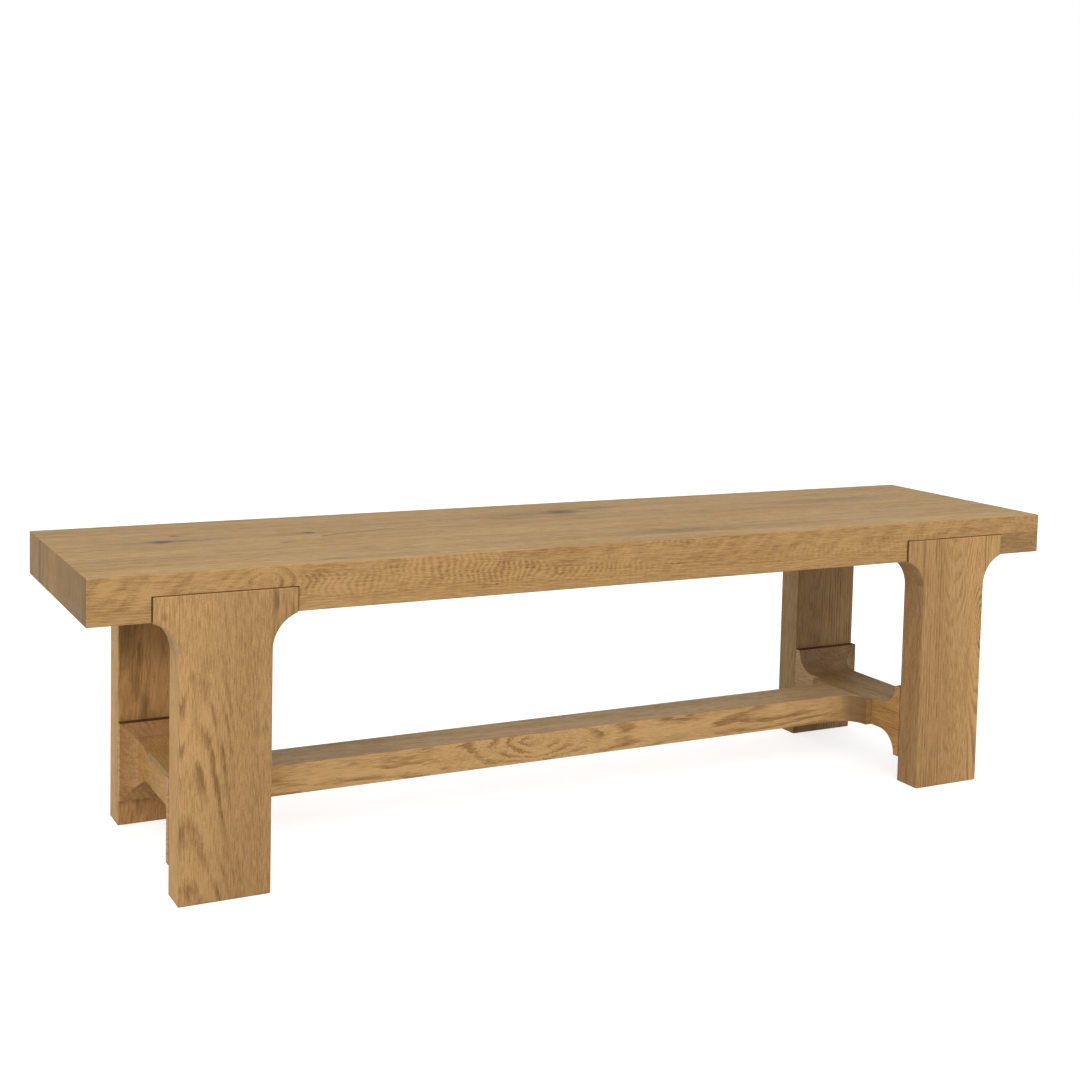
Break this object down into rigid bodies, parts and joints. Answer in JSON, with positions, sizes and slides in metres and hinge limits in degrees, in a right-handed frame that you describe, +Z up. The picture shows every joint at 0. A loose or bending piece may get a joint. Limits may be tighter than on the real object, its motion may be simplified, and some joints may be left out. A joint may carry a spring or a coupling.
{
  "type": "bench",
  "caption": "Long oak trestle bench with a thick slab seat, T-shaped legs with coved heads, and coved cross stretchers tied by a long stretcher.",
  "frame": {"origin": "on the floor under the middle of the seat", "axes": "+X along the seat to the right, +Y to the rear, +Z up"},
  "size_m": [1.642, 0.404, 0.457],
  "materials": {
    "oak_seat": "oiled oak, satin",
    "oak_edge": "oiled oak, satin",
    "oak_leg": "oiled oak, satin",
    "oak_head_block": "oiled oak, satin",
    "oak_stretcher": "oiled oak, satin",
    "oak_cove_block": "oiled oak, satin",
    "oak_inside": "bare oak, planed",
    "steel": "zinc plated"
  },
  "bodies": {
    "root": {"batten_screw_front": "steel", "batten_screw_middle": "steel", "batten_screw_rear": "steel", "cross_stretcher_left": "oak_stretcher", "cross_stretcher_right": "oak_stretcher", "end_rail_left": "oak_edge", "end_rail_right": "oak_edge", "front_rail_left": "oak_edge", "front_rail_middle": "oak_edge", "front_rail_right": "oak_edge", "inner_head_block_left_front": "oak_head_block", "inner_head_block_left_rear": "oak_head_block", "inner_head_block_right_front": "oak_head_block", "inner_head_block_right_rear": "oak_head_block", "leg_post_left_front": "oak_leg", "leg_post_left_rear": "oak_leg", "leg_post_right_front": "oak_leg", "leg_post_right_rear": "oak_leg", "long_stretcher": "oak_stretcher", "lower_cove_block_left_front": "oak_cove_block", "lower_cove_block_left_rear": "oak_cove_block", "lower_cove_block_right_front": "oak_cove_block", "lower_cove_block_right_rear": "oak_cove_block", "middle_batten": "oak_inside", "outer_head_block_left_front": "oak_head_block", "outer_head_block_left_rear": "oak_head_block", "outer_head_block_right_front": "oak_head_block", "outer_head_block_right_rear": "oak_head_block", "rear_rail_left": "oak_edge", "rear_rail_middle": "oak_edge", "rear_rail_right": "oak_edge", "seat_bearer_left": "oak_inside", "seat_bearer_right": "oak_inside", "seat_bolt_left_front": "steel", "seat_bolt_left_rear": "steel", "seat_bolt_right_front": "steel", "seat_bolt_right_rear": "steel", "seat_bolt_washer_left_front": "steel", "seat_bolt_washer_left_rear": "steel", "seat_bolt_washer_right_front": "steel", "seat_bolt_washer_right_rear": "steel", "seat_stave_front": "oak_seat", "seat_stave_middle": "oak_seat", "seat_stave_rear": "oak_seat", "side_cove_block_left_front": "oak_cove_block", "side_cove_block_left_rear": "oak_cove_block", "side_cove_block_right_front": "oak_cove_block", "side_cove_block_right_rear": "oak_cove_block", "stretcher_cheek_left_front": "oak_cove_block", "stretcher_cheek_left_rear": "oak_cove_block", "stretcher_cheek_right_front": "oak_cove_block", "stretcher_cheek_right_rear": "oak_cove_block", "threaded_insert_left_front": "steel", "threaded_insert_left_rear": "steel", "threaded_insert_right_front": "steel", "threaded_insert_right_rear": "steel", "upper_cove_block_left_front": "oak_cove_block", "upper_cove_block_left_rear": "oak_cove_block", "upper_cove_block_right_front": "oak_cove_block", "upper_cove_block_right_rear": "oak_cove_block"}
  },
  "joints": []
}
